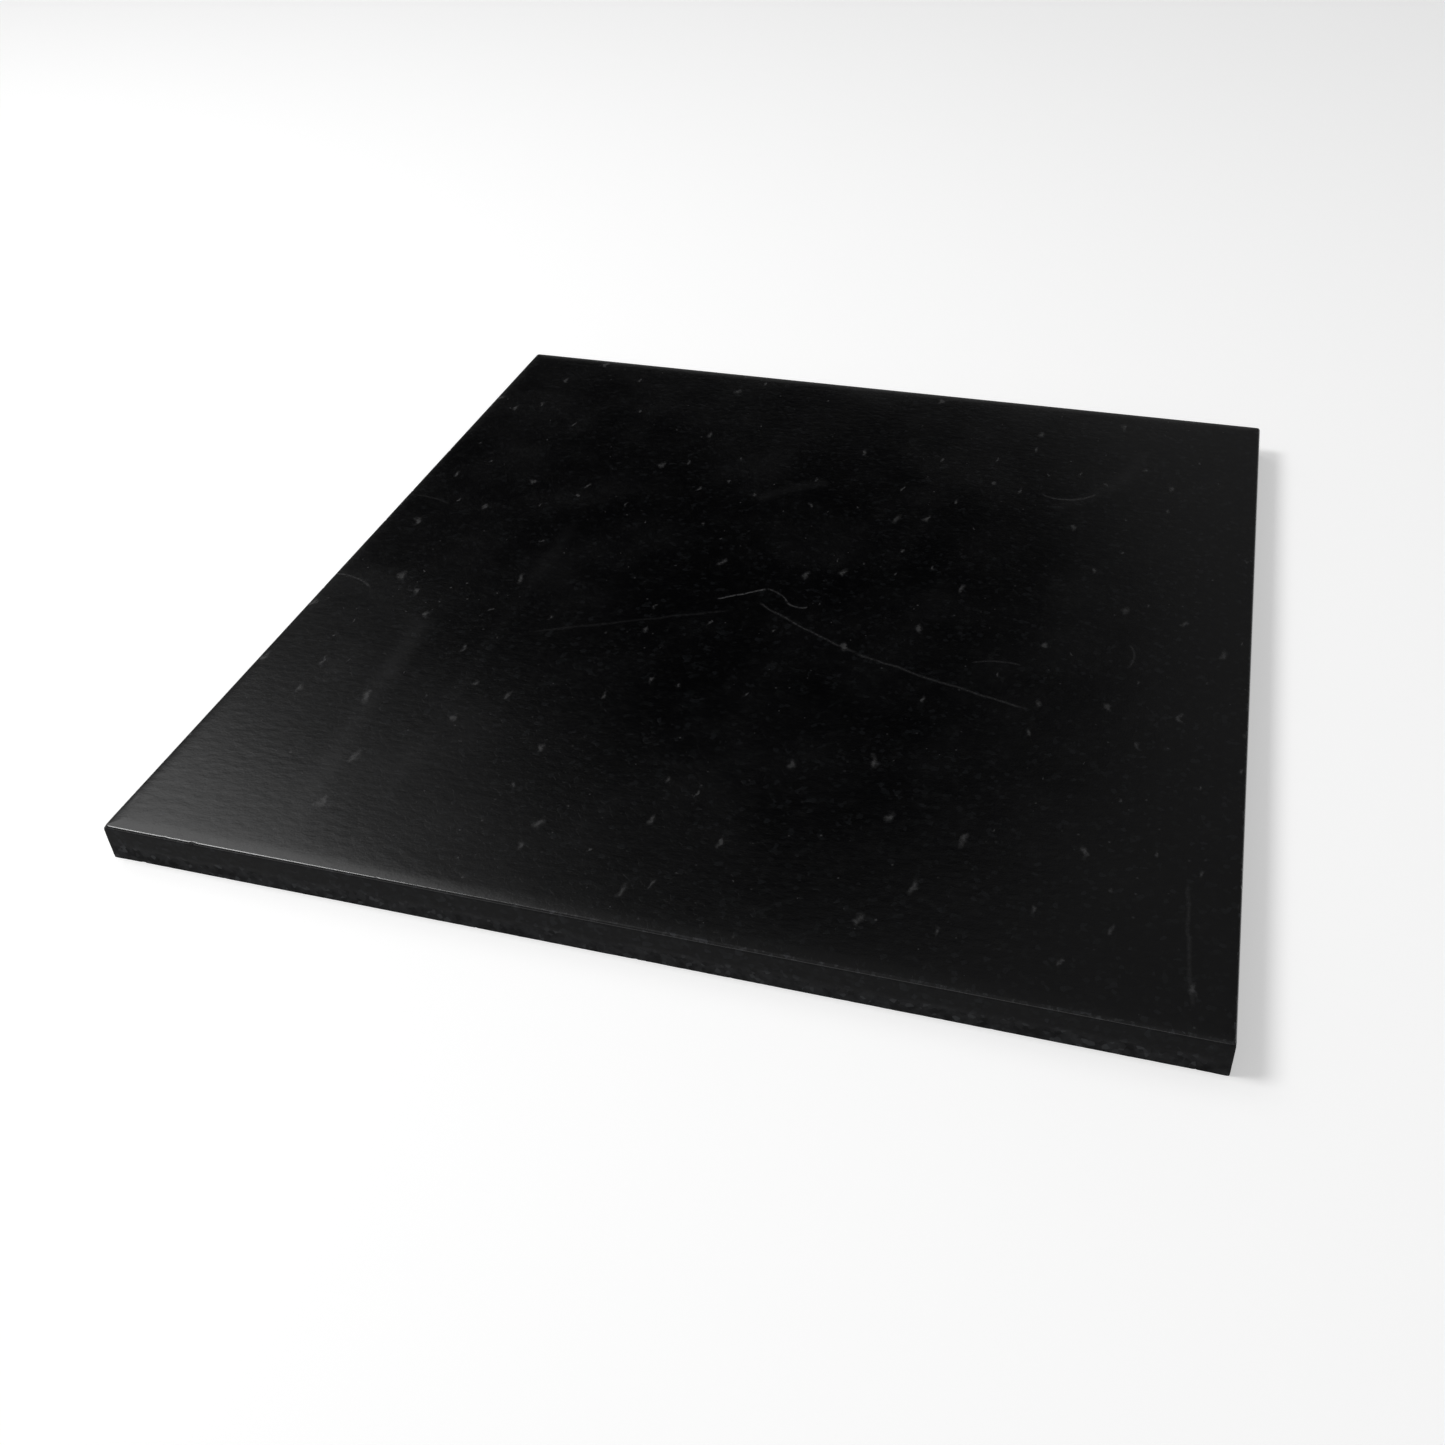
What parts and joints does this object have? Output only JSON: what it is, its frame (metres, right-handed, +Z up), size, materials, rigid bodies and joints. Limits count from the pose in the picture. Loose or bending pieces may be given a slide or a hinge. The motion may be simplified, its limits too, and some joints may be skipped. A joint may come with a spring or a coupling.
{
  "type": "granite slab",
  "caption": "Square slab of near-black granite for tooling leather on, with a polished flat top, an eased arris and sawn and split edge faces.",
  "frame": {"origin": "middle of the flat underside, on the surface that the slab lies on", "axes": "+Z up, out of the polished face; +X along the front edge to the right; -Y towards the front edge"},
  "size_m": [0.305, 0.305, 0.012],
  "materials": {
    "black_granite": "near-black granite, polished on top, sawn and split on the edge faces"
  },
  "bodies": {
    "root": {"granite_slab": "black_granite"}
  },
  "joints": []
}
